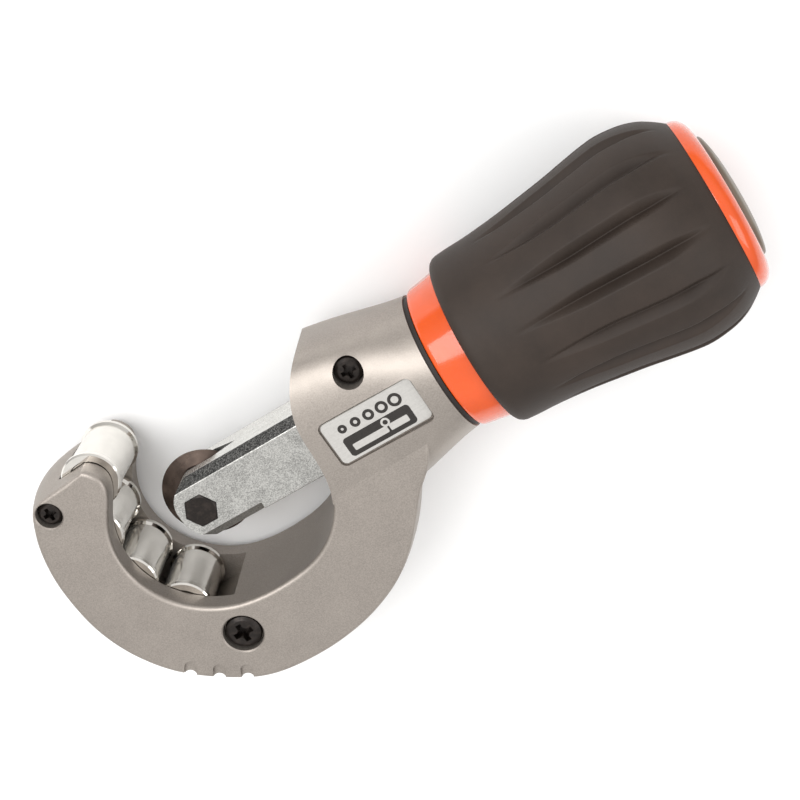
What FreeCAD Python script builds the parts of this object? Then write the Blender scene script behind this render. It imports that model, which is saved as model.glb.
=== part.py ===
"""Telescopic tube cutter: C-frame, four rollers, slider with cutting wheel, screw handle.

Units are millimetres. +X runs along the feed screw from the jaw to the handle, +Y points to
the open side of the jaw, +Z is square to the frame's side face. The origin is on the screw
axis, at the centre of the roller circle.
"""
import FreeCAD, Part
import math
import os

os.makedirs("parts", exist_ok=True)

V = FreeCAD.Vector
X_AXIS = V(1, 0, 0)
Y_AXIS = V(0, 1, 0)
Z_AXIS = V(0, 0, 1)
FAR = 60.0  # reach of a cutting tool that has to run past the part

# Frame casting
FRAME_HALF = 14.0  # half thickness of the C
EDGE_ROUND = 0.9  # rounding of the outer face edges
THROAT_ROUND = 1.0  # rounding of the throat's face edges
SLOT_HALF = 9.1  # half width of the roller slot
POCKET_R = 7.15  # roller pocket radius in the slot

# Rollers on a circle about the origin's X
ROLLER_CENTRE_Y = -0.5
ROLLER_PITCH_R = 25.6
ROLLER_FIRST_DEG = 129.0
ROLLER_STEP_DEG = 32.0
ROLLER_RIM_R = 6.75
ROLLER_BODY_R = 6.2
ROLLER_HALF = 8.9
RIM_WIDTH = 1.3
RIM_SLOPE = 0.65
PIN_R = 2.0
RUN_CLEAR = 0.05  # radial clearance of the running fits

# Barrel
BARREL_END_X = 64.0
BARREL_END_R = 16.3
GUIDE_END_X = 46.0
GUIDE_CLEAR = 0.1
BORE_R = 11.65
SPIGOT_R = 13.9
SEAL_R = 15.9
SEAL_WIDTH = 1.0
SPIGOT_END_X = 77.0
CLIP_X = 74.0
CLIP_WIDTH = 1.2
CLIP_GROOVE_R = 13.1
CLIP_R = 15.2

# Screws
TIP_SCREW = (-26.8, 18.7)
LOWER_SCREW = (-7.6, -29.1)
STOP_SCREW = (48.6, 12.3)

# Badge plate
BADGE_X = (36.1, 59.4)
BADGE_Y = (-5.4, 5.9)
BADGE_FLOOR_Z = 13.5
BADGE_TOP_Z = 14.2
BADGE_GAP = 0.35

# Slider
SLIDER_X = (-4.5, 58.0)
SLIDER_FLAT_Y = 7.9
SLIDER_FLAT_Z = 4.95
SLIDER_SIDE_Y = 6.65
SLIDER_HALF = 9.0
WHEEL_POS = (0.8, 0.4)
WHEEL_R = 10.8
WHEEL_SLOT_HALF = 2.0
WHEEL_PARK_X = 26.4  # wheel centre with the slider wound right back
BOLT_R = 2.0
HEX_AF = 7.0
HEX_SEAT_Z = 6.4
HEX_TOP_Z = 9.3
NUT_X = 48.0
NUT_R = 6.0
LUG_X = 55.2
LUG_TOP_Y = 10.9
LUG_HALF = 3.0

# Feed screw and handle
SPINDLE_TIP_X = 46.0
SPINDLE_R = 4.0
SPINDLE_END_X = 102.0
SPINDLE_BORE_END_X = 19.0
HUB_X = (86.0, 104.0)
CORE_R = 17.2
CORE_BORE_R = 15.6
COLLAR_X = 65.2
COLLAR_END_X = 72.45
GRIP_END_X = 129.05
CAP_R = 13.8
FLUTES = 16


def save(shape, name):
    """Write one node's STEP file."""
    shape.exportStep("parts/" + name + ".step")


def cyl_z(x, y, r, z0, z1):
    """Cylinder along Z at (x, y) from z0 to z1."""
    return Part.makeCylinder(r, z1 - z0, V(x, y, z0), Z_AXIS)


def cyl_x(r, x0, x1):
    """Cylinder on the screw axis from x0 to x1."""
    return Part.makeCylinder(r, x1 - x0, V(x0, 0, 0), X_AXIS)


def tube_x(r_out, r_in, x0, x1):
    """Tube on the screw axis."""
    return cyl_x(r_out, x0, x1).cut(cyl_x(r_in, x0, x1))


def box(x, y, z):
    """Box from three (low, high) pairs."""
    return Part.makeBox(x[1] - x[0], y[1] - y[0], z[1] - z[0], V(x[0], y[0], z[0]))


def polygon_prism(points, direction):
    """Prism of a closed polygon of 3-D points."""
    wire = Part.makePolygon([V(*p) for p in points + points[:1]])
    return Part.Face(wire).extrude(direction)


def turned_x(profile, smooth=None):
    """Solid of revolution about X of a closed (x, r) profile.

    smooth is an optional list of (x, r) points that replaces the straight run between the
    last and the first profile point with one smooth curve.
    """
    points = [V(x, r, 0) for x, r in profile]
    edges = [Part.makeLine(a, b) for a, b in zip(points, points[1:])]
    if smooth:
        curve = Part.BSplineCurve()
        curve.interpolate([points[-1]] + [V(x, r, 0) for x, r in smooth] + [points[0]])
        edges.append(curve.toShape())
    else:
        edges.append(Part.makeLine(points[-1], points[0]))
    return Part.Face(Part.Wire(edges)).revolve(V(0, 0, 0), X_AXIS, 360)


def turned_z(profile, x, y):
    """Solid of revolution about the Z line through (x, y) of a closed (r, z) profile."""
    points = [V(x + r, y, z) for r, z in profile]
    face = Part.Face(Part.makePolygon(points + points[:1]))
    return face.revolve(V(x, y, 0), Z_AXIS, 360)


def roller_centres():
    """Axis positions of the four rollers, jaw tip first."""
    centres = []
    for k in range(4):
        a = math.radians(ROLLER_FIRST_DEG + k * ROLLER_STEP_DEG)
        centres.append((ROLLER_PITCH_R * math.cos(a), ROLLER_CENTRE_Y + ROLLER_PITCH_R * math.sin(a)))
    return centres


# ---------------------------------------------------------------- frame casting
# Face outline of the C, counter-clockwise: x, y and how far the side wall bulges outwards at
# mid thickness. The points inside the throat and the barrel are cut away or buried.
BLANK = [
    (56.5, 1.0, 0.0), (44.0, 6.0, 0.0), (24.0, 16.0, 0.0), (6.0, 25.6, 0.0),
    (-6.0, 24.5, 0.2), (-15.7, 23.4, 0.5), (-22.0, 22.8, 1.2), (-26.6, 22.3, 1.9),
    (-29.2, 21.2, 2.3), (-31.0, 18.9, 2.3), (-33.4, 14.4, 2.3), (-35.2, 9.3, 2.3),
    (-36.4, 3.5, 2.3), (-36.8, -3.0, 2.3), (-36.5, -9.3, 2.3), (-35.5, -14.5, 2.3),
    (-33.8, -19.4, 2.3), (-31.5, -23.9, 2.3), (-28.7, -28.0, 2.3), (-25.0, -31.9, 2.3),
    (-20.6, -35.4, 2.3), (-15.7, -38.6, 2.3), (-10.7, -41.1, 2.3), (-5.3, -42.4, 2.3),
    (0.6, -42.8, 2.3), (6.9, -42.6, 2.3), (13.4, -41.7, 2.3), (19.8, -40.1, 2.2),
    (25.7, -37.8, 2.0), (31.0, -34.9, 1.8), (36.0, -31.0, 1.6), (40.4, -26.5, 1.4),
    (44.0, -22.2, 1.0), (47.2, -18.6, 0.6), (50.6, -15.6, 0.2), (54.6, -10.0, 0.0),
    (57.0, -4.0, 0.0),
]


def blank_wire(z):
    """Closed outline of the C at height z, with the bulge of the side wall."""
    bulge = 1.0 - (z / FRAME_HALF) ** 2
    points = []
    for i, (x, y, crown) in enumerate(BLANK):
        before = BLANK[i - 1]
        after = BLANK[(i + 1) % len(BLANK)]
        along = V(after[0] - before[0], after[1] - before[1], 0).normalize()
        out = along.cross(Z_AXIS)
        points.append(V(x, y, z) + out * (crown * bulge))
    curve = Part.BSplineCurve()
    curve.interpolate(points, PeriodicFlag=True)
    return Part.Wire(curve.toShape())


def barrel_wire(x, ry, rz, power):
    """Closed section of the barrel at x: a circle that turns into a flattened oval."""
    points = []
    steps = 32
    for k in range(steps):
        a = 2 * math.pi * k / steps
        c = math.cos(a)
        s = math.sin(a)
        y = math.copysign(abs(c) ** (2 / power), c) * ry
        z = math.copysign(abs(s) ** (2 / power), s) * rz
        points.append(V(x, y, z))
    curve = Part.BSplineCurve()
    curve.interpolate(points, PeriodicFlag=True)
    return Part.Wire(curve.toShape())


# Inner outline of the C from the jaw's nose, round the throat, to the barrel's lip
THROAT = [
    (-15.7, 24.2), (-12.7, 22.6), (-11.3, 19.3), (-12.4, 15.9), (-14.7, 12.8), (-17.3, 9.4),
    (-19.7, 4.2), (-20.5, -1.6), (-19.6, -7.4), (-17.1, -12.7), (-13.8, -16.6), (-9.6, -19.7),
    (-4.7, -21.8), (0.5, -22.8), (9.5, -22.8), (17.9, -21.1), (25.3, -16.3), (30.2, -8.9),
    (31.9, -0.4), (32.6, 7.6), (35.2, 14.4), (39.4, 19.9), (45.0, 23.9),
]


def throat_face(z):
    """Outline of the space inside the C, open at the top."""
    points = [V(x, y, z) for x, y in THROAT]
    curve = Part.BSplineCurve()
    curve.interpolate(points)
    above = [points[-1], V(points[-1].x, FAR, z), V(points[0].x, FAR, z), points[0]]
    sides = [Part.makeLine(p, q) for p, q in zip(above, above[1:])]
    return Part.Face(Part.Wire([curve.toShape()] + sides))


def slider_section(x, grow):
    """Cross-section of the slider at x, grown outwards by grow."""
    side = SLIDER_HALF + grow
    flat = SLIDER_FLAT_Y + grow
    edge = SLIDER_SIDE_Y + grow
    fz = SLIDER_FLAT_Z
    return [
        (x, flat, -fz), (x, flat, fz), (x, edge, side), (x, -edge, side),
        (x, -flat, fz), (x, -flat, -fz), (x, -edge, -side), (x, edge, -side),
    ]


def roller_slot():
    """Tool for the slot between the cheeks: roller pockets, links and the lower run-out."""
    centres = roller_centres()
    lead = (centres[0][0] + 10.0, centres[0][1] + 14.3)
    chain = [lead] + centres
    height = V(0, 0, 2 * SLOT_HALF)
    tool = cyl_z(*centres[0], POCKET_R, -SLOT_HALF, SLOT_HALF)
    for x, y in centres[1:]:
        tool = tool.fuse(cyl_z(x, y, POCKET_R, -SLOT_HALF, SLOT_HALF))
    for (ax, ay), (bx, by) in zip(chain, chain[1:]):
        side = V(bx - ax, by - ay, 0).normalize().cross(Z_AXIS) * POCKET_R
        corners = [
            (ax + side.x, ay + side.y, -SLOT_HALF), (bx + side.x, by + side.y, -SLOT_HALF),
            (bx - side.x, by - side.y, -SLOT_HALF), (ax - side.x, ay - side.y, -SLOT_HALF),
        ]
        tool = tool.fuse(polygon_prism(corners, height))
    run_out = [(-14.0, -11.0), (-4.3, -16.5), (-6.6, -25.4), (-16.5, -25.4)]
    tool = tool.fuse(polygon_prism([(x, y, -SLOT_HALF) for x, y in run_out], height))
    return tool


def notch_tool(x, y, out_deg):
    """Tool for one pipe-rest notch: a groove in the edge and a shallow pocket in each face."""
    reach = 2 * FAR
    groove_r = 1.5
    a = math.radians(out_deg)
    out = V(math.cos(a), math.sin(a), 0)
    groove = Part.makeCylinder(groove_r, reach, V(x, y, -FAR) + out * 0.9, Z_AXIS)
    tool = groove
    across = out.cross(Z_AXIS) * groove_r
    depth = 1.0
    for face in (-1, 1):
        z0 = FRAME_HALF - depth if face > 0 else -FRAME_HALF - 1
        head = V(x, y, z0) - out * 2.2
        pocket = Part.makeCylinder(groove_r, depth + 1, head, Z_AXIS)
        foot = head + out * 8.0
        corners = [tuple(head + across), tuple(foot + across), tuple(foot - across), tuple(head - across)]
        pocket = pocket.fuse(polygon_prism(corners, V(0, 0, depth + 1)))
        tool = tool.fuse(pocket)
    return tool


def screw_seat(x, y, r, floor_z):
    """Tool for a counterbore in the side face with a small chamfer at its mouth."""
    chamfer = 0.3
    mouth = Part.makeCone(r, r + chamfer + 0.1, chamfer + 0.1, V(x, y, FRAME_HALF - chamfer), Z_AXIS)
    return cyl_z(x, y, r, floor_z, FRAME_HALF + 3).fuse(mouth)


def rounded_box(x, y, z, r):
    """Box with its four upright edges rounded."""
    body = box(x, y, z)
    upright = [e for e in body.Edges if abs(e.Vertexes[0].Z - e.Vertexes[1].Z) > 1e-6]
    return body.makeFillet(r, upright)


def make_frame():
    heights = [-FRAME_HALF, -9.0, 0.0, 9.0, FRAME_HALF]
    blank = Part.makeLoft([blank_wire(z) for z in heights], True, False)
    rim = [e for e in blank.Edges if abs(abs(e.CenterOfMass.z) - FRAME_HALF) < 1e-3]
    blank = blank.makeFillet(EDGE_ROUND, rim)
    throat = throat_face(-FAR).extrude(V(0, 0, 2 * FAR))
    blank = blank.cut(throat)
    inner = []
    for e in blank.Edges:
        flat = abs(abs(e.BoundBox.ZMin) - FRAME_HALF) < 1e-3 and e.BoundBox.ZLength < 1e-3
        near = throat.distToShape(Part.Vertex(e.valueAt((e.FirstParameter + e.LastParameter) / 2)))[0]
        if flat and near < 1e-3:
            inner.append(e)
    blank = blank.makeFillet(THROAT_ROUND, inner)
    sections = [
        barrel_wire(29.0, 22.7, 14.4, 3.2), barrel_wire(38.0, 21.4, 14.4, 3.2),
        barrel_wire(47.0, 19.7, 14.7, 3.0), barrel_wire(55.0, 17.9, 15.4, 2.5),
        barrel_wire(BARREL_END_X, BARREL_END_R, BARREL_END_R, 2.0),
    ]
    barrel = Part.makeLoft(sections, True, False).cut(throat)
    frame = blank.fuse(barrel)
    frame = frame.fuse(cyl_x(SPIGOT_R, BARREL_END_X - 5, SPIGOT_END_X))
    frame = frame.cut(polygon_prism(slider_section(20.0, GUIDE_CLEAR), V(FAR, 0, 0)))
    frame = frame.cut(cyl_x(BORE_R, GUIDE_END_X, SPIGOT_END_X))
    frame = frame.cut(tube_x(SPIGOT_R, CLIP_GROOVE_R, CLIP_X, CLIP_X + CLIP_WIDTH))
    frame = frame.cut(roller_slot())
    for x, y in roller_centres():
        frame = frame.cut(cyl_z(x, y, PIN_R, -FRAME_HALF - 1, 11.5))
    x, y = TIP_SCREW
    frame = frame.cut(screw_seat(x, y, 3.1, 10.2)).cut(cyl_z(x, y, 1.5, -9.0, 11.0))
    x, y = LOWER_SCREW
    frame = frame.cut(screw_seat(x, y, 4.8, 10.8)).cut(cyl_z(x, y, 2.0, -9.0, 11.0))
    x, y = STOP_SCREW
    frame = frame.cut(cyl_z(x, y, 3.35, 9.2, FRAME_HALF + 3)).cut(cyl_z(x, y, 2.0, -9.0, 10.0))
    frame = frame.cut(rounded_box(BADGE_X, BADGE_Y, (BADGE_FLOOR_Z, 20.0), 1.6))
    for x, y, out in ((-24.9, -32.0, 231.0), (-19.5, -36.2, 234.0), (-13.8, -39.6, 239.0)):
        frame = frame.cut(notch_tool(x, y, out))
    room = WHEEL_SLOT_HALF + 0.4
    frame = frame.cut(cyl_z(WHEEL_PARK_X, WHEEL_POS[1], WHEEL_R + 0.7, -room, room))
    return frame.removeSplitter()


def phillips(x, y, z, size):
    """Cross recess tool sunk from height z."""
    depth = size * 0.55
    blade = size * 0.16
    arm = box((x - size * 0.55, x + size * 0.55), (y - blade, y + blade), (z - depth, z + 1))
    other = box((x - blade, x + blade), (y - size * 0.55, y + size * 0.55), (z - depth, z + 1))
    cone = Part.makeCone(0.05, size * 0.34, depth, V(x, y, z - depth), Z_AXIS)
    return arm.fuse(other).fuse(cone)


def pan_screw(x, y, head_r, head_z, top_z, shank_r, end_z):
    """Cross-recess screw with a low domed head, axis along Z."""
    height = top_z - head_z
    profile = [
        (0, end_z), (shank_r - 0.4, end_z), (shank_r, end_z + 0.5), (shank_r, head_z), (head_r, head_z),
        (head_r, head_z + 0.55 * height), (head_r * 0.93, head_z + 0.78 * height),
        (head_r * 0.74, head_z + 0.93 * height), (0, top_z),
    ]
    return turned_z(profile, x, y).cut(phillips(x, y, top_z, head_r))


def make_roller(x, y):
    """Polished roller with a raised rim at each end."""
    h = ROLLER_HALF
    rim = h - RIM_WIDTH
    foot = rim - RIM_SLOPE
    bore = PIN_R + RUN_CLEAR
    edge = 0.35
    half = [(ROLLER_BODY_R, foot), (ROLLER_RIM_R, rim), (ROLLER_RIM_R, h - edge), (ROLLER_RIM_R - edge, h)]
    face = [(4.9, h), (4.7, h - 0.3), (bore + 0.3, h - 0.3), (bore, h - 0.6)]
    upper = half + face
    lower = [(r, -z) for r, z in reversed(upper)]
    return turned_z(lower + upper, x, y)


def make_wheel(x, y, bore):
    """Hardened cutting disc: hub, web and a long bevel to a sharp rim."""
    upper = [(WHEEL_R, 0.06), (7.6, 1.0), (5.0, 1.15), (4.6, 1.8), (bore + 0.2, 1.8), (bore, 1.6)]
    lower = [(r, -z) for r, z in reversed(upper)]
    return turned_z(lower + upper, x, y)


def hex_prism(x, y, across, z0, z1):
    """Hexagonal prism with corners along X."""
    r = across / math.sqrt(3)
    corners = []
    for k in range(6):
        a = math.radians(60 * k)
        corners.append((x + r * math.cos(a), y + r * math.sin(a), z0))
    return polygon_prism(corners, V(0, 0, z1 - z0))


def make_slider():
    x0, x1 = SLIDER_X
    body = polygon_prism(slider_section(x0, 0.0), V(x1 - x0, 0, 0))
    long_edges = [e for e in body.Edges if e.BoundBox.XLength > 1.0]
    body = body.makeFillet(0.3, long_edges)
    z = -FAR
    end = [
        Part.makeLine(V(FAR + 20, 10, z), V(2.0, 10, z)),
        Part.makeLine(V(2.0, 10, z), V(2.0, SLIDER_FLAT_Y + 0.1, z)),
        Part.Arc(V(2.0, SLIDER_FLAT_Y + 0.1, z), V(-2.6, 6.1, z), V(-4.5, 1.6, z)).toShape(),
        Part.Arc(V(-4.5, 1.6, z), V(-4.3, -1.9, z), V(-2.2, -5.3, z)).toShape(),
        Part.makeLine(V(-2.2, -5.3, z), V(0.5, -10, z)),
        Part.makeLine(V(0.5, -10, z), V(FAR + 20, -10, z)),
        Part.makeLine(V(FAR + 20, -10, z), V(FAR + 20, 10, z)),
    ]
    body = body.common(Part.Face(Part.Wire(end)).extrude(V(0, 0, 2 * FAR)))
    low = -SLIDER_FLAT_Y - 1
    for side in (-1, 1):
        wedge = [
            (x0 - 5, -4.9, side * (SLIDER_HALF + 0.01)), (x0 - 5, low, side * (SLIDER_HALF + 0.01)),
            (x0 - 5, low, side * (SLIDER_HALF - 4.1)),
        ]
        body = body.cut(polygon_prism(wedge, V(13.6 - x0 + 5, 0, 0)))
    half = WHEEL_SLOT_HALF
    gap = [(-10, -15, -half), (7.6, -15, -half), (13.8, -15, 0), (7.6, -15, half), (-10, -15, half)]
    body = body.cut(polygon_prism(gap, V(0, 30, 0)))
    x, y = WHEEL_POS
    body = body.cut(hex_prism(x, y, HEX_AF + 0.25, HEX_SEAT_Z, SLIDER_HALF + 1))
    body = body.cut(cyl_z(x, y, BOLT_R, -SLIDER_HALF - 1, SLIDER_HALF))
    body = body.cut(cyl_x(SPINDLE_R + 0.3, SPINDLE_BORE_END_X, x1))
    body = body.cut(cyl_x(NUT_R, NUT_X, x1))
    lug = box((LUG_X, x1), (6.5, LUG_TOP_Y), (-LUG_HALF, LUG_HALF))
    return body.fuse(lug).removeSplitter()


def make_wheel_bolt():
    x, y = WHEEL_POS
    head = hex_prism(x, y, HEX_AF, HEX_SEAT_Z, HEX_TOP_Z)
    crown = Part.makeCone(HEX_AF / 2 - 0.05, HEX_AF / 2 + 4.0, 2.4, V(x, y, HEX_TOP_Z), V(0, 0, -1))
    head = head.common(crown.fuse(cyl_z(x, y, HEX_AF, HEX_SEAT_Z - 1, HEX_TOP_Z - 1.2)))
    shank = cyl_z(x, y, BOLT_R, -SLIDER_HALF + 0.4, HEX_SEAT_Z)
    return head.fuse(shank).removeSplitter()


def make_spindle():
    """Feed screw with ring grooves for its thread, a neck and the pinned end."""
    pitch = 2.0
    depth = 0.55
    profile = [(SPINDLE_TIP_X, 0), (SPINDLE_TIP_X, SPINDLE_R - 1.0), (SPINDLE_TIP_X + 0.8, SPINDLE_R)]
    x = SPINDLE_TIP_X + 1.4
    while x < HUB_X[0] - 3.0:
        profile += [(x, SPINDLE_R), (x + 0.5 * pitch - 0.25, SPINDLE_R - depth), (x + pitch - 0.5, SPINDLE_R)]
        x += pitch
    profile += [(SPINDLE_END_X, SPINDLE_R), (SPINDLE_END_X, 0)]
    return turned_x(profile).cut(spindle_pin())


def spindle_pin():
    """Cross pin through the hub and the feed screw."""
    return cyl_z(95.0, 0.0, 1.5, -15.0, 15.0)


def make_core():
    """Handle tube with the visible collar at its front."""
    profile = [
        (COLLAR_X, SPIGOT_R + 0.1), (COLLAR_X, 16.15), (COLLAR_X + 0.1, 16.45), (COLLAR_X + 0.3, 16.7),
        (COLLAR_X + 0.6, 16.85), (COLLAR_X + 1.0, 16.95), (COLLAR_END_X, 17.9), (COLLAR_END_X, CORE_R),
        (GRIP_END_X, CORE_R), (GRIP_END_X, CORE_BORE_R),
        (CLIP_X - 0.6, CORE_BORE_R), (CLIP_X - 0.6, SPIGOT_R + 0.1),
    ]
    return turned_x(profile)


GRIP_OUTER = [
    (73.0, 19.7), (74.2, 20.25), (77.0, 20.4), (81.0, 20.5), (85.0, 20.75), (90.0, 21.2), (96.0, 21.95),
    (102.0, 22.75), (108.0, 23.75), (112.0, 24.35), (115.0, 24.6), (118.0, 24.4), (121.5, 23.75),
    (124.5, 22.6), (127.0, 21.0), (128.4, 19.9),
]
# Flutes: x, grip radius there and depth of the groove below it
FLUTE_PATH = [
    (80.5, 20.5, -0.7), (85.0, 20.75, 0.2), (90.0, 21.2, 0.65), (96.0, 21.95, 0.95), (102.0, 22.75, 1.15),
    (108.0, 23.75, 1.3), (112.0, 24.35, 1.35), (115.0, 24.6, 1.3), (118.0, 24.4, 1.1), (121.5, 23.75, 0.75),
    (124.5, 22.6, 0.2), (127.5, 20.6, -0.9),
]


def flute_tool():
    """Round bar that dips into the sleeve along its outer curve."""
    bar_r = 1.5
    curve = Part.BSplineCurve()
    curve.interpolate([V(x, 0, r + bar_r - depth) for x, r, depth in FLUTE_PATH])
    path = curve.toShape()
    start = curve.value(curve.FirstParameter)
    ring = Part.Wire(Part.Circle(start, curve.tangent(curve.FirstParameter)[0], bar_r).toShape())
    return Part.Wire(path).makePipeShell([ring], True, False)


def make_grip():
    """Soft grip sleeve with sixteen narrow flutes that fade out at both ends."""
    outer = [(72.5, 18.9)] + GRIP_OUTER
    bore = [(GRIP_END_X, 19.3), (GRIP_END_X, CORE_R), (COLLAR_END_X, CORE_R), (COLLAR_END_X, 18.5)]
    grip = turned_x(bore, outer)
    flute = flute_tool()
    step = 360.0 / FLUTES
    for k in range(FLUTES):
        tool = flute.copy()
        tool.rotate(V(0, 0, 0), X_AXIS, (k + 0.5) * step)
        grip = grip.cut(tool)
    return grip


def make_end_ring():
    """Bright ring that closes the grip and seats the cap."""
    smooth = [(132.45, 15.0), (132.3, 16.7), (131.5, 18.2), (130.4, 19.1)]
    profile = [
        (GRIP_END_X, 19.35), (GRIP_END_X, CORE_BORE_R), (GRIP_END_X - 6, CORE_BORE_R), (GRIP_END_X - 6, 12.7),
        (130.6, 12.7), (130.6, CAP_R + 0.08), (132.1, CAP_R + 0.08),
    ]
    return turned_x(profile, smooth)


def make_cap():
    """Domed end cap with a skirt and a peg that carries the spare wheel."""
    smooth = [(134.55, 6.0), (134.2, 10.2), (133.75, 12.6)]
    profile = [
        (133.1, CAP_R), (130.7, CAP_R), (130.7, 12.6), (124.5, 12.6), (124.5, 11.3), (130.0, 11.3),
        (130.0, 2.0), (108.5, 2.0), (108.0, 1.5), (108.0, 0), (134.7, 0),
    ]
    points = [V(x, r, 0) for x, r in profile]
    edges = [Part.makeLine(a, b) for a, b in zip(points, points[1:])]
    curve = Part.BSplineCurve()
    dome = [points[-1]] + [V(x, r, 0) for x, r in smooth] + [points[0]]
    curve.interpolate(dome, InitialTangent=V(0, 4, 0), FinalTangent=V(-2, 0.6, 0))
    edges.append(curve.toShape())
    return Part.Face(Part.Wire(edges)).revolve(V(0, 0, 0), X_AXIS, 360)


centres = roller_centres()
save(make_frame(), "frame")
save(Part.makeCompound([cyl_z(x, y, PIN_R, -13.6, 11.4) for x, y in centres]), "roller_pins")
for number, (cx, cy) in enumerate(centres, 1):
    save(make_roller(cx, cy), "roller_%d" % number)
save(pan_screw(*TIP_SCREW, 2.9, 10.2, 13.2, 1.5, -8.5), "tip_screw")
save(pan_screw(*LOWER_SCREW, 4.35, 10.8, 13.7, 2.0, -8.5), "lower_screw")
save(pan_screw(*STOP_SCREW, 3.1, 9.2, 12.2, 2.0, -8.5), "stop_screw")
badge_x = (BADGE_X[0] + BADGE_GAP, BADGE_X[1] - BADGE_GAP)
badge_y = (BADGE_Y[0] + BADGE_GAP, BADGE_Y[1] - BADGE_GAP)
badge = rounded_box(badge_x, badge_y, (BADGE_FLOOR_Z, BADGE_TOP_Z), 1.3)
badge_rim = [e for e in badge.Edges if e.BoundBox.ZMin > BADGE_TOP_Z - 1e-3]
save(badge.makeFillet(0.3, badge_rim), "badge_plate")
save(tube_x(SEAL_R, SPIGOT_R + 0.05, BARREL_END_X, BARREL_END_X + SEAL_WIDTH), "seal_ring")
clip = tube_x(CLIP_R, CLIP_GROOVE_R, CLIP_X, CLIP_X + CLIP_WIDTH)
save(clip.cut(box((CLIP_X - 1, CLIP_X + 3), (8.0, 20.0), (-4.0, 4.0))), "retaining_clip")
save(make_slider(), "slider")
save(make_wheel_bolt(), "wheel_bolt")
save(make_wheel(*WHEEL_POS, BOLT_R + RUN_CLEAR), "cutting_wheel")
save(tube_x(NUT_R, SPINDLE_R + 0.1, NUT_X, SLIDER_X[1]), "spindle_nut")
save(make_spindle(), "spindle")
save(tube_x(CORE_BORE_R, SPINDLE_R, *HUB_X).cut(spindle_pin()), "spindle_hub")
save(spindle_pin(), "hub_pin")
save(make_core(), "handle_core")
save(make_grip(), "grip")
save(make_end_ring(), "end_ring")
save(make_cap(), "end_cap")
spare = make_wheel(0.0, 0.0, 2.0)
spare.rotate(V(0, 0, 0), Y_AXIS, 90)
spare.translate(V(112.0, 0, 0))
save(spare, "spare_wheel")
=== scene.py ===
"""Pipe cutter with a cast C frame, four rollers, a telescoping slider and a fluted handle.

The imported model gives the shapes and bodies. This file gives each part its finish, builds the
grip sleeve and the badge plate finer, and adds floor, light and camera.
"""

import math

import bmesh
import bpy
from bpy.props import FloatProperty, FloatVectorProperty, IntProperty, PointerProperty
from mathutils import Matrix, Vector


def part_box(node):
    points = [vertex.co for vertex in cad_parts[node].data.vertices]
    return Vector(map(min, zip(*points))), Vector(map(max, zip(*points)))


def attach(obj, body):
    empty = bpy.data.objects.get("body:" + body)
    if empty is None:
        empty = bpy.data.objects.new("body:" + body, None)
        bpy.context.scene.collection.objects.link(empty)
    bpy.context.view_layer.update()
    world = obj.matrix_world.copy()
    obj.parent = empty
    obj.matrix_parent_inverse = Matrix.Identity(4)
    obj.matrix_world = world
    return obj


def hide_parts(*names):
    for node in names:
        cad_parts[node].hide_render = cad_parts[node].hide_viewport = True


bl_info = {
    "name": "Pipe cutter",
    "version": (1, 0, 0),
    "blender": (4, 5, 0),
    "location": "3D View > Sidebar > Pipe cutter",
    "description": "Finishes and fine pieces of a telescoping pipe cutter",
    "category": "Object",
}

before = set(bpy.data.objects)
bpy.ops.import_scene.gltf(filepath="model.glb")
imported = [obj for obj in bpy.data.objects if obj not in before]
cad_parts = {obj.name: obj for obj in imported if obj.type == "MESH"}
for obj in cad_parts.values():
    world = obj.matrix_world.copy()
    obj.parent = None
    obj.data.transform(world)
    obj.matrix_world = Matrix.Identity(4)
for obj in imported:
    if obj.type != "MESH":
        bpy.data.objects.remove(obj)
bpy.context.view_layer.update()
MM = 0.001

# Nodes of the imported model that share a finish.
FRAME_NODES = ("frame",)
SCREW_NODES = ("tip_screw", "lower_screw", "stop_screw")
ROLLER_NODES = ("roller_1", "roller_2", "roller_3", "roller_4")
WHEEL_NODES = ("cutting_wheel", "spare_wheel")
ORANGE_NODES = ("handle_core", "end_ring")

# Grip: places (x, radius) of its section in mm, from the front of the bore round to the back of it.
GRIP_PROFILE = (
    (72.46, 17.25), (72.46, 18.55), (72.62, 19.1), (73.0, 19.65), (73.6, 20.03), (74.4, 20.25),
    (77.0, 20.4), (81.0, 20.5), (85.0, 20.75), (90.0, 21.2), (96.0, 21.95), (102.0, 22.75),
    (108.0, 23.75), (112.0, 24.35), (115.0, 24.6), (118.0, 24.4), (121.5, 23.75), (124.5, 22.6),
    (127.0, 21.0), (128.4, 19.9), (129.05, 19.35), (129.05, 17.25),
)
RUN_FIRST = 5
RUN_LAST = 19
RUN_STEP = 0.45
GRIP_TURNS = 768
FLUTE_FRONT_FADE = 19.0
FLUTE_BACK_FADE = 11.0
FLUTE_HALF_WIDTH = (0.7, 1.9)
FLUTE_LEAST_RADIUS = 17.5
FLUTE_SHARPNESS = 1.1

# Badge: heights and roundings in mm, and places as shares of the plate's width and height.
BADGE_SINK = 0.1
BADGE_CORNER = 1.3
BADGE_EDGE = 0.16
SYMBOL_SINK = 0.05
SYMBOL_EDGE = 0.04
RING_RISE = 0.06
RING_COUNT = 5
RING_FIRST = 0.19
RING_STEP = 0.145
RING_HEIGHT = 0.715
RING_RADIUS = 1.02
RING_GROWTH = 0.13
RING_WALL = 0.7
PANEL_X = (0.12, 0.85)
PANEL_Y = (0.07, 0.52)
PANEL_CORNER = 0.9
PANEL_RISE = 0.04
PANEL_EDGE = 0.05
TUBE_MID = 0.4
TUBE_HALF = 0.17
TUBE_CUT = 0.62
TUBE_MARGIN = 1.4
TUBE_GAP = 0.22
TUBE_CORNER = 0.3
TUBE_RISE = 0.08
DISC_LIFT = 0.75
DISC_RADII = (1.05, 0.55)
DISC_RISE = 0.1

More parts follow.
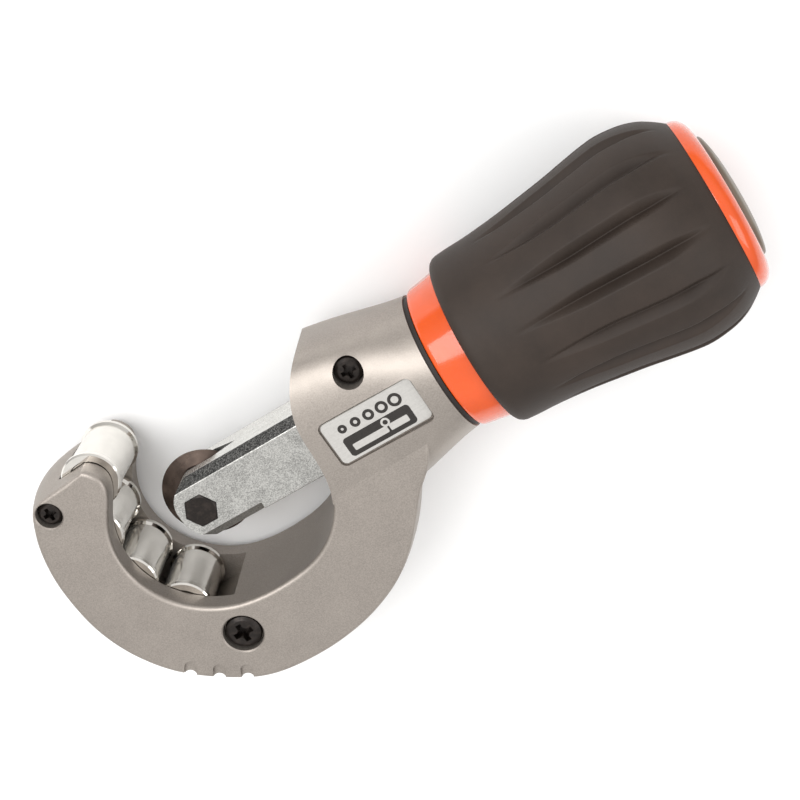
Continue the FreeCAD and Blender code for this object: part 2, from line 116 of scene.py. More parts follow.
# Stage: the floor touches the widest grip ring and the far edge of the C; places are in metres.
FLOOR_HALF = 9
REST_GRIP = (115.0, 24.65)
REST_JAW = (-38.0, 14.05)
FLOOR_ORIGIN = (0.115, 0, -0.02466)
KEY_PLACE = (-0.055, 0.27, 0.43)
KEY_TARGET = (0.05, 0.0, 0.0)
KEY_SIZE = 0.36
FILL_PLACE = (0.36, -0.18, 0.36)
FILL_TARGET = (0.06, 0.0, 0.0)
FILL_SIZE = 0.3
SKY_LOW = (0.52, 0.51, 0.50, 1)
SKY_HIGH = (1.0, 0.995, 0.985, 1)
SKY_BAND = (0.05, 0.7)
VIEW_PLACE = (0.115626, 0.084547, 0.239487)
VIEW_RIGHT = (0.839254, -0.541748, -0.046481)
VIEW_AHEAD = (-0.244979, -0.300422, -0.921809)
VIEW_SHIFT = (0.0254, -0.0461)
SENSOR_WIDTH = 36
CLIP_START = 0.01


# ---------------------------------------------------------------- shader expressions
class Flow:
    """A socket of a shader node tree, on which Python's operators add Math nodes."""

    def __init__(self, tree, socket=None):
        self.tree = tree
        self.socket = socket

    def node(self, kind, settings=None, sockets=None, output=0):
        """Add a node: first its settings, then the values or links of its sockets."""
        made = self.tree.nodes.new(kind)
        for name, value in (settings or {}).items():
            setattr(made, name, value)
        for name, value in (sockets or {}).items():
            if isinstance(value, Flow):
                self.tree.links.new(value.socket, made.inputs[name])
            else:
                made.inputs[name].default_value = value
        return Flow(self.tree, made.outputs[output] if made.outputs else None)

    def beside(self, output):
        """Another output of the same node."""
        return Flow(self.tree, self.socket.node.outputs[output])

    def maths(self, operation, *values):
        """A Math node on these values, of which this socket is usually the first."""
        return self.node("ShaderNodeMath", {"operation": operation}, dict(enumerate(values)))

    def __add__(self, other):
        return self.maths("ADD", self, other)

    def __sub__(self, other):
        return self.maths("SUBTRACT", self, other)

    def __mul__(self, other):
        return self.maths("MULTIPLY", self, other)

    def __radd__(self, other):
        return self.maths("ADD", other, self)

    def __rsub__(self, other):
        return self.maths("SUBTRACT", other, self)

    def __rmul__(self, other):
        return self.maths("MULTIPLY", other, self)

    def __abs__(self):
        return self.maths("ABSOLUTE", self)


def new_finish(name):
    """An empty material and the flow that fills its node tree."""
    material = bpy.data.materials.new(name)
    material.use_nodes = True
    material.node_tree.nodes.clear()
    return material, Flow(material.node_tree)


def place_on(flow):
    """Position on the part, in metres."""
    return flow.node("ShaderNodeTexCoord", output=3)


def facing(flow):
    """Surface direction on the part."""
    return flow.node("ShaderNodeTexCoord", output=1)


def axes(vector):
    """X, Y and Z of a vector as three flows."""
    split = vector.node("ShaderNodeSeparateXYZ", sockets={0: vector})
    return split, split.beside(1), split.beside(2)


def noise(place, size, detail=2.0, roughness=0.5, stretch=None):
    """Noise from 0 to 1 whose blotches are about size metres across."""
    if stretch:
        place = place.node("ShaderNodeMapping", sockets={0: place, 3: stretch})
    sockets = {"Vector": place, "Scale": 1.0 / size, "Detail": detail, "Roughness": roughness}
    return place.node("ShaderNodeTexNoise", sockets=sockets)


def cells(place, size):
    """Random grey per cell, cells about size metres across."""
    made = place.node("ShaderNodeTexVoronoi", sockets={"Vector": place, "Scale": 1.0 / size}, output=1)
    return made.node("ShaderNodeSeparateColor", sockets={0: made})


def remap(value, low, high, to_low=0.0, to_high=1.0):
    """Value taken from low..high to to_low..to_high and held inside it."""
    kind = {"clamp": True, "interpolation_type": "LINEAR"}
    return value.node("ShaderNodeMapRange", kind, {0: value, 1: low, 2: high, 3: to_low, 4: to_high})


def soft_step(value, low, high):
    """Smooth step of value from 0 at low to 1 at high."""
    kind = {"clamp": True, "interpolation_type": "SMOOTHSTEP"}
    return value.node("ShaderNodeMapRange", kind, {0: value, 1: low, 2: high, 3: 0.0, 4: 1.0})


def mixed(amount, low, high):
    """Colour between low and high."""
    return amount.node("ShaderNodeMix", {"data_type": "RGBA"}, {0: amount, 6: low, 7: high}, 2)


def shade(colour, factor):
    """A colour made lighter or darker."""
    return (*[min(1.0, channel * factor) for channel in colour[:3]], 1.0)


def bumped(height, strength, depth):
    """Surface direction disturbed by a height whose full range is depth metres."""
    return height.node("ShaderNodeBump", sockets={"Strength": strength, "Distance": depth, "Height": height})


def surface(flow, **sockets):
    """Shader and output that end the material."""
    names = {name.replace("_", " "): value for name, value in sockets.items()}
    shader = flow.node("ShaderNodeBsdfPrincipled", sockets=names)
    flow.node("ShaderNodeOutputMaterial", sockets={"Surface": shader})


# ---------------------------------------------------------------- finishes
def cast_metal(colour):
    """Blasted and clear-coated light alloy with a painted highlight on its rounded edges."""
    material, flow = new_finish("cast_metal")
    place = place_on(flow)
    nz = axes(facing(flow))[2]
    grain = noise(place, 0.00032, 3.0, 0.65)
    cloud = noise(place, 0.009, 3.0, 0.55)
    edge_highlight_mask = remap(abs(nz), 0.30, 0.55) * remap(abs(nz), 0.995, 0.93)
    tone = remap(grain, 0.3, 0.7) * 0.8 + remap(cloud, 0.3, 0.7) * 0.2
    body = mixed(tone, shade(colour, 0.76), shade(colour, 1.2))
    # Painted highlight: the rounded edges, found by their slope, are mixed towards a lighter colour.
    base = mixed(edge_highlight_mask * remap(cloud, 0.25, 0.6, 0.1, 0.35), body, shade(colour, 1.4))
    rough = remap(grain, 0.3, 0.7, 0.43, 0.55) - edge_highlight_mask * 0.06
    surface(flow, Base_Color=base, Metallic=0.78, Roughness=rough, Normal=bumped(grain, 0.55, 0.00005))
    return material


def chrome(colour):
    """Bright rims and a softer rolled body with faint running marks round the roller."""
    material, flow = new_finish("chrome")
    place = place_on(flow)
    rim = remap(abs(axes(place)[2]), 0.0066, 0.0069)
    marks = noise(place, 0.0016, 4.0, 0.6, (1.0, 1.0, 14.0))
    haze = noise(place, 0.003, 3.0)
    base = mixed(remap(haze, 0.3, 0.7), shade(colour, 0.9), colour)
    rough = remap(marks, 0.4, 0.8, 0.12, 0.22) - rim * 0.08
    surface(
        flow, Base_Color=base, Metallic=rim * 0.2 + 0.8, Roughness=rough, Normal=bumped(marks, 0.12, 0.00002),
    )
    return material


def plain_steel(name, colour, rough_low, rough_high, stretch):
    """Turned or ground steel whose marks run across the stretched axes."""
    material, flow = new_finish(name)
    place = place_on(flow)
    marks = noise(place, 0.0012, 4.0, 0.65, stretch)
    stain = noise(place, 0.004, 3.0)
    base = mixed(remap(stain, 0.3, 0.7) * 0.6 + marks * 0.4, shade(colour, 0.75), shade(colour, 1.2))
    rough = remap(marks, 0.3, 0.7, rough_low, rough_high)
    surface(flow, Base_Color=base, Metallic=0.95, Roughness=rough, Normal=bumped(marks, 0.25, 0.00003))
    return material


def black_oxide(colour):
    """Brown-black oxidised steel with rubbed high spots."""
    material, flow = new_finish("black_oxide")
    place = place_on(flow)
    fine = noise(place, 0.00025, 3.0, 0.6)
    patch = noise(place, 0.0011, 3.0, 0.6)
    base = mixed(remap(patch, 0.45, 0.75), colour, shade(colour, 2.4))
    rough = remap(fine, 0.3, 0.7, 0.28, 0.46)
    surface(flow, Base_Color=base, Metallic=0.55, Roughness=rough, Normal=bumped(fine, 0.3, 0.00003))
    return material


def zinc_plating(colour):
    """Zinc-plated steel: small crystals, faint haze and handling marks; painted shade darkens the slanted
    facets and a painted reflection lightens the upright flanks.
    """
    material, flow = new_finish("zinc_plating")
    place = place_on(flow)
    crystal = cells(place, 0.00019)
    fine = noise(place, 0.00016, 3.0, 0.7)
    haze = noise(place, 0.005, 4.0, 0.6)
    tilt = abs(axes(facing(flow))[2])
    facet_shade_mask = remap(abs(tilt - 0.35), 0.18, 0.2, 1.0, 0.0)
    flank_reflection_mask = remap(tilt, 0.1, 0.15, 1.0, 0.0)
    tone = crystal * 0.4 + fine * 0.4 + remap(haze, 0.3, 0.7) * 0.2
    plated = mixed(remap(tone, 0.34, 0.66), shade(colour, 0.6), shade(colour, 1.2))
    # Painted reflection: the upright flanks get this lighter colour.
    painted_flank_reflection = mixed(remap(tone, 0.3, 0.7), shade(colour, 1.3), shade(colour, 1.65))
    # Painted shade: the slanted facets get this much darker colour.
    painted_facet_shade = mixed(remap(crystal * 0.4 + fine * 0.6, 0.45, 0.72), shade(colour, 0.015), shade(colour, 0.42))
    rough = remap(tone, 0.2, 0.8, 0.42, 0.27) + facet_shade_mask * 0.1 - flank_reflection_mask * 0.06
    base = mixed(facet_shade_mask, mixed(flank_reflection_mask, plated, painted_flank_reflection), painted_facet_shade)
    surface(flow, Base_Color=base, Metallic=0.85, Roughness=rough, Normal=bumped(tone, 0.3, 0.00004))
    return material


def tool_steel(colour):
    """Hardened cutting wheel: ring-shaped grinding marks and a browned face."""
    material, flow = new_finish("tool_steel")
    place = place_on(flow)
    band = noise(place, 0.0009, 3.0, 0.6, (0.25, 0.25, 4.0))
    stain = noise(place, 0.0035, 4.0, 0.6)
    base = mixed(remap(stain, 0.35, 0.7) * 0.7 + band * 0.3, colour, shade(colour, 2.3))
    rough = remap(band, 0.3, 0.7, 0.24, 0.4)
    surface(flow, Base_Color=base, Metallic=0.85, Roughness=rough, Normal=bumped(band, 0.2, 0.00003))
    return material


def gloss_plastic(colour):
    """Bright moulded plastic with a slight ripple and a few fine scuffs."""
    material, flow = new_finish("gloss_plastic")
    place = place_on(flow)
    ripple = noise(place, 0.006, 2.0)
    scuff = noise(place, 0.0007, 4.0, 0.7, (0.4, 1.0, 1.0))
    base = mixed(remap(ripple, 0.3, 0.7), shade(colour, 0.94), shade(colour, 1.04))
    rough = remap(scuff, 0.45, 0.85, 0.1, 0.26)
    surface(
        flow, Base_Color=base, Roughness=rough, Normal=bumped(ripple * 0.7 + scuff * 0.3, 0.12, 0.00005),
        Coat_Weight=0.4, Coat_Roughness=0.04, Subsurface_Weight=0.04, Subsurface_Scale=0.001,
    )
    return material


def soft_rubber(colour):
    """Matte moulded rubber: spark-eroded grain, darker and smoother where hands rub."""
    material, flow = new_finish("soft_rubber")
    place = place_on(flow)
    grain = noise(place, 0.00028, 4.0, 0.7)
    cloud = noise(place, 0.011, 4.0, 0.6)
    dust = noise(place, 0.0022, 5.0, 0.65)
    tone = grain * 0.35 + remap(cloud, 0.3, 0.7) * 0.45 + dust * 0.2
    base = mixed(remap(tone, 0.25, 0.75), shade(colour, 0.8), shade(colour, 1.22))
    rough = remap(grain * 0.6 + cloud * 0.4, 0.3, 0.7, 0.5, 0.66)
    normal = bumped(grain, 0.45, 0.00006)
    surface(flow, Base_Color=base, Roughness=rough, Normal=normal, Specular_IOR_Level=0.26)
    return material


def satin_plastic(name, colour, rough_low, rough_high):
    """Moulded plastic with a fine satin texture."""
    material, flow = new_finish(name)
    place = place_on(flow)
    grain = noise(place, 0.00022, 3.0, 0.6)
    cloud = noise(place, 0.006, 3.0)
    base = mixed(remap(cloud, 0.3, 0.7) * 0.6 + grain * 0.4, shade(colour, 0.85), shade(colour, 1.15))
    rough = remap(grain, 0.3, 0.7, rough_low, rough_high)
    surface(flow, Base_Color=base, Roughness=rough, Normal=bumped(grain, 0.3, 0.00004))
    return material


def bronze_metal(colour):
    """Cast and turned bearing bronze."""
    material, flow = new_finish("bronze_metal")
    place = place_on(flow)
    rings = noise(place, 0.0009, 3.0, 0.6, (6.0, 1.0, 1.0))
    stain = noise(place, 0.003, 4.0, 0.6)
    base = mixed(remap(stain, 0.3, 0.7), shade(colour, 0.7), shade(colour, 1.1))
    surface(
        flow, Base_Color=base, Metallic=0.95, Roughness=remap(rings, 0.3, 0.7, 0.3, 0.46),
        Normal=bumped(rings, 0.25, 0.00003),
    )
    return material


def badge_metal(colour):
    """Fine-brushed pale sheet, brushed along the handle."""
    material, flow = new_finish("badge_metal")
    place = place_on(flow)
    brush = noise(place, 0.0004, 4.0, 0.7, (0.12, 1.6, 1.0))
    speck = noise(place, 0.0005, 2.0)
    base = mixed(remap(brush * 0.6 + speck * 0.4, 0.3, 0.7), shade(colour, 0.85), shade(colour, 1.06))
    surface(
        flow, Base_Color=base, Metallic=0.6, Roughness=remap(brush, 0.3, 0.7, 0.3, 0.42),
        Normal=bumped(brush, 0.2, 0.00002),
    )
    return material


def enamel(colour):
    """Dark fired enamel with a slight orange-peel surface."""
    material, flow = new_finish("enamel")
    place = place_on(flow)
    peel = noise(place, 0.0006, 2.0)
    base = mixed(remap(peel, 0.3, 0.7), shade(colour, 0.85), shade(colour, 1.2))
    rough = remap(peel, 0.3, 0.7, 0.24, 0.36)
    surface(flow, Base_Color=base, Roughness=rough, Normal=bumped(peel, 0.3, 0.00003))
    return material


def dress(names, material):
    """Give CAD nodes a finish in every material slot."""
    for name in names:
        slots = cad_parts[name].data.materials
        for index in range(len(slots)):
            slots[index] = material


# ---------------------------------------------------------------- mesh helpers
def add_piece(name, mesh, body, material, smooth=True):
    """Put a mesh in the scene, riding on a body with a finish."""
    piece = bpy.data.objects.new(name, mesh)
    bpy.context.scene.collection.objects.link(piece)
    mesh.materials.append(material)
    mesh.polygons.foreach_set("use_smooth", [smooth] * len(mesh.polygons))
    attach(piece, body)
    return piece


def grid_mesh(name, rows):
    """Closed mesh from rings of points, the first and last row joined as well."""
    count = len(rows[0])
    points = [point for row in rows for point in row]
    faces = []
    for i in range(len(rows)):
        following = (i + 1) % len(rows)
        for j in range(count):
            near, far = i * count, following * count
            k = (j + 1) % count
            faces.append((near + j, far + j, far + k, near + k))
    mesh = bpy.data.meshes.new(name)
    mesh.from_pydata(points, [], faces)
    mesh.update()
    return mesh


def rounded_outline(x0, x1, y0, y1, radius, steps=10):
    """Anticlockwise outline of a rectangle with round corners, in mm."""
    points = []
    corners = ((x1 - radius, y1 - radius, 0), (x0 + radius, y1 - radius, 90), (x0 + radius, y0 + radius, 180),
               (x1 - radius, y0 + radius, 270))
    for cx, cy, start in corners:
        for k in range(steps + 1):
            a = math.radians(start + 90 * k / steps)
            points.append((cx + radius * math.cos(a), cy + radius * math.sin(a)))
    return points


def circle_outline(cx, cy, radius, steps=48):
    """Anticlockwise circle, in mm."""
    angles = [2 * math.pi * k / steps for k in range(steps)]
    return [(cx + radius * math.cos(a), cy + radius * math.sin(a)) for a in angles]


def inset(points, amount):
    """Outline moved inwards by amount along its corner bisectors."""
    moved = []
    for i, (x, y) in enumerate(points):
        (ax, ay), (bx, by) = points[i - 1], points[(i + 1) % len(points)]
        along = Vector((bx - ax, by - ay)).normalized()
        moved.append((x - along.y * amount, y + along.x * amount))
    return moved


def slab(mesh, outer, low, high, edge, finish, inner=None):
    """Add a closed plate of an outline, from low to high in mm, with eased upper edges; inner is a hole."""

    def ring(points, z):
        return [mesh.verts.new((x * MM, y * MM, z * MM)) for x, y in points]

    def wall(below, above, flip=False):
        for i in range(len(below)):
            k = (i + 1) % len(below)
            quad = (below[i], below[k], above[k], above[i])
            mesh.faces.new(quad[::-1] if flip else quad).material_index = finish

    outside = [ring(outer, low), ring(outer, high - edge), ring(inset(outer, edge), high)]
    wall(outside[0], outside[1])
    wall(outside[1], outside[2])
    if inner is None:
        mesh.faces.new(outside[2]).material_index = finish
        mesh.faces.new(outside[0][::-1]).material_index = finish
        return
    inside = [ring(inner, low), ring(inner, high - edge), ring(inset(inner, -edge), high)]
    wall(inside[0], inside[1], True)
    wall(inside[1], inside[2], True)
    wall(outside[2], inside[2])
    wall(outside[0], inside[0], True)


def build_badge():
    """Badge plate with a row of tube rings above a dark panel that shows a tube and a cutting wheel."""
    (x0, y0, z0), (x1, y1, z1) = [[value / MM for value in corner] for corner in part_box("badge_plate")]
    top = z1 - BADGE_SINK
    wide, tall = x1 - x0, y1 - y0
    shapes = bmesh.new()
    slab(shapes, rounded_outline(x0, x1, y0, y1, BADGE_CORNER), z0, top, BADGE_EDGE, 0)
    for k in range(RING_COUNT):
        cx = x0 + wide * (RING_FIRST + RING_STEP * k)
        cy = y0 + tall * RING_HEIGHT
        size = RING_RADIUS + RING_GROWTH * k
        hole = circle_outline(cx, cy, size - RING_WALL)
        slab(shapes, circle_outline(cx, cy, size), top - SYMBOL_SINK, top + RING_RISE, SYMBOL_EDGE, 1, hole)
    px0, px1 = [x0 + wide * share for share in PANEL_X]
    py0, py1 = [y0 + tall * share for share in PANEL_Y]
    panel = rounded_outline(px0, px1, py0, py1, PANEL_CORNER)
    slab(shapes, panel, top - SYMBOL_SINK, top + PANEL_RISE, PANEL_EDGE, 1)
    mid = py0 + (py1 - py0) * TUBE_MID
    half = (py1 - py0) * TUBE_HALF
    cut = px0 + (px1 - px0) * TUBE_CUT
    for left, right in ((px0 + TUBE_MARGIN, cut - TUBE_GAP), (cut + TUBE_GAP, px1 - TUBE_MARGIN)):
        tube = rounded_outline(left, right, mid - half, mid + half, TUBE_CORNER)
        slab(shapes, tube, top, top + TUBE_RISE, SYMBOL_EDGE, 0)
    rim, bore = [circle_outline(cut, mid + half + DISC_LIFT, radius) for radius in DISC_RADII]
    slab(shapes, rim, top, top + DISC_RISE, SYMBOL_EDGE, 0, bore)
    bmesh.ops.recalc_face_normals(shapes, faces=shapes.faces)
    mesh = bpy.data.meshes.new("badge_sheet")
    shapes.to_mesh(mesh)
    shapes.free()
    return mesh


def ease(value):
    """Smooth step of a number held between 0 and 1."""
    value = max(0.0, min(1.0, value))
    return value * value * (3 - 2 * value)


def profile_at(x):
    """Grip radius at x on its long outer run, in mm, as a smooth curve through the profile."""
    run = GRIP_PROFILE[RUN_FIRST:RUN_LAST + 1]
    for i in range(len(run) - 1):
        if x <= run[i + 1][0] or i == len(run) - 2:
            before, here = run[max(i - 1, 0)], run[i]
            there, after = run[i + 1], run[min(i + 2, len(run) - 1)]
            width = there[0] - here[0]
            t = (x - here[0]) / width
            rise_here = (there[1] - before[1]) / (there[0] - before[0]) * width
            rise_there = (after[1] - here[1]) / (after[0] - here[0]) * width
            a = 2 * t ** 3 - 3 * t ** 2 + 1
            b = t ** 3 - 2 * t ** 2 + t
            c = -2 * t ** 3 + 3 * t ** 2
            d = t ** 3 - t ** 2
            return a * here[1] + b * rise_here + c * there[1] + d * rise_there
    return run[-1][1]


def build_grip(size):
    """Rubber sleeve: a smooth revolved skin with narrow pointed flutes pressed into it."""
    outer = list(GRIP_PROFILE[:RUN_FIRST])
    x = GRIP_PROFILE[RUN_FIRST][0]
    while x < GRIP_PROFILE[RUN_LAST][0] - 0.3:
        outer.append((x, profile_at(x)))
        x += RUN_STEP
    outer += list(GRIP_PROFILE[RUN_LAST:])
    narrow, broad = FLUTE_HALF_WIDTH
    pitch = 2 * math.pi / size.flutes
    rows = []
    for x, radius in outer:
        front = ease((x - size.flute_start) / FLUTE_FRONT_FADE)
        along = front * ease((size.flute_end - x) / FLUTE_BACK_FADE)
        deep = size.flute_depth * along if radius > FLUTE_LEAST_RADIUS else 0.0
        half = (narrow + (broad - narrow) * along) / radius
        ring = []
        for j in range(GRIP_TURNS):
            angle = 2 * math.pi * j / GRIP_TURNS
            off = (angle + math.radians(size.flute_phase)) % pitch - pitch / 2
            r = radius - deep * max(0.0, 1.0 - abs(off / half)) ** FLUTE_SHARPNESS
            ring.append((x * MM, r * math.cos(angle) * MM, r * math.sin(angle) * MM))
        rows.append(ring)
    return grid_mesh("grip_sleeve", rows)


# ---------------------------------------------------------------- settings
def colour_setting(name, description, default):
    """A linear colour that a user may change."""
    return FloatVectorProperty(
        name=name, description=description, subtype="COLOR", size=4, min=0, max=1, default=default,
    )


class PipeCutterFinish(bpy.types.PropertyGroup):
    """Colours of the parts."""

    casting: colour_setting("Casting", "Colour of the cast frame", (0.330, 0.296, 0.266, 1))
    chrome: colour_setting("Chrome", "Colour of the rollers", (0.78, 0.755, 0.71, 1))
    steel: colour_setting("Steel", "Colour of pins, spindle and clip", (0.50, 0.49, 0.48, 1))
    oxide: colour_setting("Black oxide", "Colour of screws and wheel bolt", (0.013, 0.0095, 0.0078, 1))
    zinc: colour_setting("Zinc plating", "Colour of the slider", (0.46, 0.455, 0.435, 1))
    wheel: colour_setting("Wheel steel", "Colour of the cutting wheels", (0.036, 0.026, 0.021, 1))
    bronze: colour_setting("Bronze", "Colour of the nut", (0.50, 0.30, 0.12, 1))
    orange: colour_setting("Bright plastic", "Colour of the collar and the end ring", (0.66, 0.076, 0.003, 1))
    rubber: colour_setting("Grip rubber", "Colour of the grip sleeve", (0.032, 0.0225, 0.0175, 1))
    cap: colour_setting("Cap", "Colour of the end cap", (0.150, 0.122, 0.088, 1))
    badge: colour_setting("Badge sheet", "Colour of the badge plate", (0.56, 0.545, 0.52, 1))
    panel: colour_setting("Badge panel", "Colour of the dark panel", (0.014, 0.011, 0.009, 1))


class PipeCutterGrip(bpy.types.PropertyGroup):
    """Flutes of the grip sleeve, in millimetres."""

    flutes: IntProperty(name="Flutes", description="Number of flutes", default=16, min=4, max=40)
    flute_depth: FloatProperty(name="Depth", description="Depth in mm", default=2.1, min=0.2, max=2.5)
    flute_start: FloatProperty(name="Start", description="Where flutes begin, in millimetres", default=82.5)
    flute_end: FloatProperty(name="End", description="Where the flutes end, in millimetres", default=127.0)
    flute_phase: FloatProperty(name="Phase", description="Turn of the first flute in degrees", default=0.0)


class PipeCutterStage(bpy.types.PropertyGroup):
    """Floor, light and camera."""

    floor: colour_setting("Floor", "Colour of the floor", (0.93, 0.93, 0.93, 1))
    key: FloatProperty(name="Key light", description="Main softbox power in watts", default=1.7, min=0)
    fill: FloatProperty(name="Fill light", description="Side softbox power in watts", default=0.6, min=0)
    sky: FloatProperty(name="Surround", description="Strength of the surround light", default=1.04, min=0)
    lens: FloatProperty(name="Lens", description="Focal length in millimetres", default=53.31, min=10)


# ---------------------------------------------------------------- pieces
class PIPECUTTER_OT_casting(bpy.types.Operator):
    """Finish the cast frame"""

    bl_idname = "pipecutter.casting"
    bl_label = "Frame casting"

    def execute(self, context):
        dress(FRAME_NODES, cast_metal(context.scene.pipe_cutter_finish.casting))
        return {"FINISHED"}


class PIPECUTTER_OT_rollers(bpy.types.Operator):
    """Finish the rollers and their pins"""

    bl_idname = "pipecutter.rollers"
    bl_label = "Rollers and pins"

    def execute(self, context):
        colours = context.scene.pipe_cutter_finish
        dress(ROLLER_NODES, chrome(colours.chrome))
        dress(("roller_pins",), plain_steel("pin_steel", colours.steel, 0.22, 0.36, (1.0, 1.0, 6.0)))
        return {"FINISHED"}


class PIPECUTTER_OT_screws(bpy.types.Operator):
    """Finish the frame screws and the wheel bolt"""

    bl_idname = "pipecutter.screws"
    bl_label = "Screws"

    def execute(self, context):
        dress(SCREW_NODES + ("wheel_bolt",), black_oxide(context.scene.pipe_cutter_finish.oxide))
        return {"FINISHED"}


class PIPECUTTER_OT_slider(bpy.types.Operator):
    """Finish the slider and its nut"""

    bl_idname = "pipecutter.slider"
    bl_label = "Slider"

    def execute(self, context):
        colours = context.scene.pipe_cutter_finish
        dress(("slider",), zinc_plating(colours.zinc))
        dress(("spindle_nut",), bronze_metal(colours.bronze))
        return {"FINISHED"}


class PIPECUTTER_OT_wheels(bpy.types.Operator):
    """Finish the cutting wheel and the spare one"""

    bl_idname = "pipecutter.wheels"
    bl_label = "Cutting wheels"

    def execute(self, context):
        dress(WHEEL_NODES, tool_steel(context.scene.pipe_cutter_finish.wheel))
        return {"FINISHED"}


class PIPECUTTER_OT_feed(bpy.types.Operator):
    """Finish the feed screw, its hub, pin, clip and seal"""

    bl_idname = "pipecutter.feed"
    bl_label = "Feed screw"

    def execute(self, context):
        colours = context.scene.pipe_cutter_finish
        dress(("spindle",), plain_steel("spindle_steel", colours.steel, 0.25, 0.4, (8.0, 1.0, 1.0)))
        dress(("hub_pin",), plain_steel("hub_pin_steel", colours.steel, 0.25, 0.4, (1.0, 1.0, 6.0)))
        spring = shade(colours.steel, 0.5)
        dress(("retaining_clip",), plain_steel("spring_steel", spring, 0.3, 0.45, (2.0, 1.0, 1.0)))
        dress(("spindle_hub",), satin_plastic("hub_plastic", shade(colours.rubber, 0.7), 0.4, 0.55))
        dress(("seal_ring",), satin_plastic("seal_rubber", shade(colours.rubber, 0.35), 0.55, 0.7))
        return {"FINISHED"}


class PIPECUTTER_OT_badge(bpy.types.Operator):
    """Build the badge plate with its enamelled tube symbols"""

    bl_idname = "pipecutter.badge"
    bl_label = "Badge plate"

    def execute(self, context):
        colours = context.scene.pipe_cutter_finish
        metal = badge_metal(colours.badge)
        plate = add_piece("badge_sheet", build_badge(), "frame", metal, smooth=False)
        plate.data.materials.append(enamel(colours.panel))
        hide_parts("badge_plate")
        return {"FINISHED"}


class PIPECUTTER_OT_handle(bpy.types.Operator):
    """Build the fluted sleeve and finish the handle's bright parts"""

    bl_idname = "pipecutter.handle"
    bl_label = "Handle"

    def execute(self, context):
        colours = context.scene.pipe_cutter_finish
        dress(ORANGE_NODES, gloss_plastic(colours.orange))
        mesh = build_grip(context.scene.pipe_cutter_grip)
        sleeve = add_piece("grip_sleeve", mesh, "handle", soft_rubber(colours.rubber))
        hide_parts("grip")
        return {"FINISHED"}


class PIPECUTTER_OT_cap(bpy.types.Operator):
    """Finish the end cap"""

    bl_idname = "pipecutter.cap"
    bl_label = "End cap"

    def execute(self, context):
        dress(("end_cap",), satin_plastic("cap_plastic", context.scene.pipe_cutter_finish.cap, 0.34, 0.46))
        return {"FINISHED"}


class PIPECUTTER_OT_stage(bpy.types.Operator):
    """Add the floor, the lights and the camera"""

    bl_idname = "pipecutter.stage"
    bl_label = "Stage"

    def execute(self, context):
        stage = context.scene.pipe_cutter_stage
        add_floor(stage)
        add_surround(context, stage)
        add_softbox("key_softbox", KEY_PLACE, KEY_TARGET, KEY_SIZE, stage.key)
        add_softbox("fill_softbox", FILL_PLACE, FILL_TARGET, FILL_SIZE, stage.fill)
        add_camera(context, stage)
        context.scene.view_settings.view_transform = "Standard"
        return {"FINISHED"}


def add_floor(stage):
    """Pale floor that touches the widest ring of the grip and the far edge of the C."""
    material, flow = new_finish("floor_paint")
    place = place_on(flow)
    tone = noise(place, 0.004, 3.0)
    base = mixed(tone, shade(stage.floor, 0.985), stage.floor)
    surface(flow, Base_Color=base, Roughness=remap(tone, 0.3, 0.7, 0.75, 0.85), Specular_IOR_Level=0.2)
    mesh = bpy.data.meshes.new("floor")
    half = FLOOR_HALF
    corners = [(-half, -half, 0), (half, -half, 0), (half, half, 0), (-half, half, 0)]
    mesh.from_pydata(corners, [], [(0, 1, 2, 3)])
    mesh.materials.append(material)
    floor = bpy.data.objects.new("floor", mesh)
    bpy.context.scene.collection.objects.link(floor)
    tilt = math.atan2(REST_GRIP[1] - REST_JAW[1], REST_GRIP[0] - REST_JAW[0])
    floor.matrix_world = Matrix.Translation(FLOOR_ORIGIN) @ Matrix.Rotation(tilt, 4, "Y")


def add_surround(context, stage):
    """Even pale light from all round, a little brighter from above."""
    world = bpy.data.worlds.new("surround")
    world.use_nodes = True
    world.node_tree.nodes.clear()
    flow = Flow(world.node_tree)
    up = axes(flow.node("ShaderNodeTexCoord", output=0))[2]
    colour = mixed(soft_step(up, *SKY_BAND), SKY_LOW, SKY_HIGH)
    light = flow.node("ShaderNodeBackground", sockets={0: colour, 1: stage.sky})
    flow.node("ShaderNodeOutputWorld", sockets={"Surface": light})
    context.scene.world = world


def add_softbox(name, place, target, size, power):
    """Square area light at place, turned to target."""
    light = bpy.data.lights.new(name, "AREA")
    light.shape = "SQUARE"
    light.size = size
    light.energy = power
    lamp = bpy.data.objects.new(name, light)
    bpy.context.scene.collection.objects.link(lamp)
    lamp.location = place
    lamp.rotation_euler = (Vector(target) - Vector(place)).to_track_quat("-Z", "Y").to_euler()


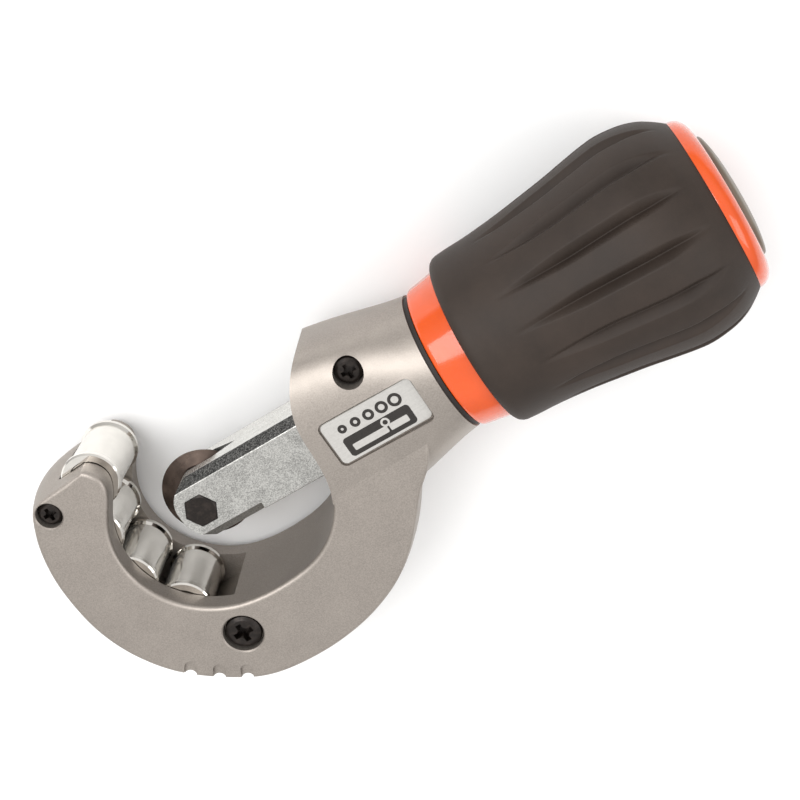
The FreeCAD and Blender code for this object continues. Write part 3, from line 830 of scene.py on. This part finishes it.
def add_camera(context, stage):
    """Camera above the open side, rolled so that the handle points up and right."""
    lens = bpy.data.cameras.new("view")
    lens.lens = stage.lens
    lens.sensor_width = SENSOR_WIDTH
    lens.shift_x, lens.shift_y = VIEW_SHIFT
    lens.clip_start = CLIP_START
    camera = bpy.data.objects.new("view", lens)
    context.scene.collection.objects.link(camera)
    right = Vector(VIEW_RIGHT).normalized()
    ahead = Vector(VIEW_AHEAD).normalized()
    up = right.cross(ahead)
    turn = Matrix((right, up, -ahead)).transposed()
    camera.matrix_world = Matrix.Translation(VIEW_PLACE) @ turn.to_4x4()
    context.scene.camera = camera


OPERATORS = (
    PIPECUTTER_OT_casting, PIPECUTTER_OT_rollers, PIPECUTTER_OT_screws, PIPECUTTER_OT_slider,
    PIPECUTTER_OT_wheels, PIPECUTTER_OT_feed, PIPECUTTER_OT_badge, PIPECUTTER_OT_handle,
    PIPECUTTER_OT_cap, PIPECUTTER_OT_stage,
)


class PIPECUTTER_PT_panel(bpy.types.Panel):
    """Sidebar panel with the steps and their settings"""

    bl_idname = "PIPECUTTER_PT_panel"
    bl_label = "Pipe cutter"
    bl_space_type = "VIEW_3D"
    bl_region_type = "UI"
    bl_category = "Pipe cutter"

    def draw(self, context):
        layout = self.layout
        for kind in OPERATORS:
            layout.operator(kind.bl_idname)
        for settings in (
            context.scene.pipe_cutter_finish, context.scene.pipe_cutter_grip, context.scene.pipe_cutter_stage,
        ):
            column = layout.column()
            for name in settings.__annotations__:
                column.prop(settings, name)


GROUPS = (PipeCutterFinish, PipeCutterGrip, PipeCutterStage)


def register():
    """Register the classes and their settings."""
    for kind in GROUPS + OPERATORS + (PIPECUTTER_PT_panel,):
        bpy.utils.register_class(kind)
    bpy.types.Scene.pipe_cutter_finish = PointerProperty(type=PipeCutterFinish)
    bpy.types.Scene.pipe_cutter_grip = PointerProperty(type=PipeCutterGrip)
    bpy.types.Scene.pipe_cutter_stage = PointerProperty(type=PipeCutterStage)


def unregister():
    """Remove the settings and the classes."""
    del bpy.types.Scene.pipe_cutter_stage
    del bpy.types.Scene.pipe_cutter_grip
    del bpy.types.Scene.pipe_cutter_finish
    for kind in reversed(GROUPS + OPERATORS + (PIPECUTTER_PT_panel,)):
        bpy.utils.unregister_class(kind)


def main():
    """Build everything in order."""
    register()
    for kind in OPERATORS:
        family, name = kind.bl_idname.split(".")
        getattr(getattr(bpy.ops, family), name)()


if __name__ == "__main__":
    main()
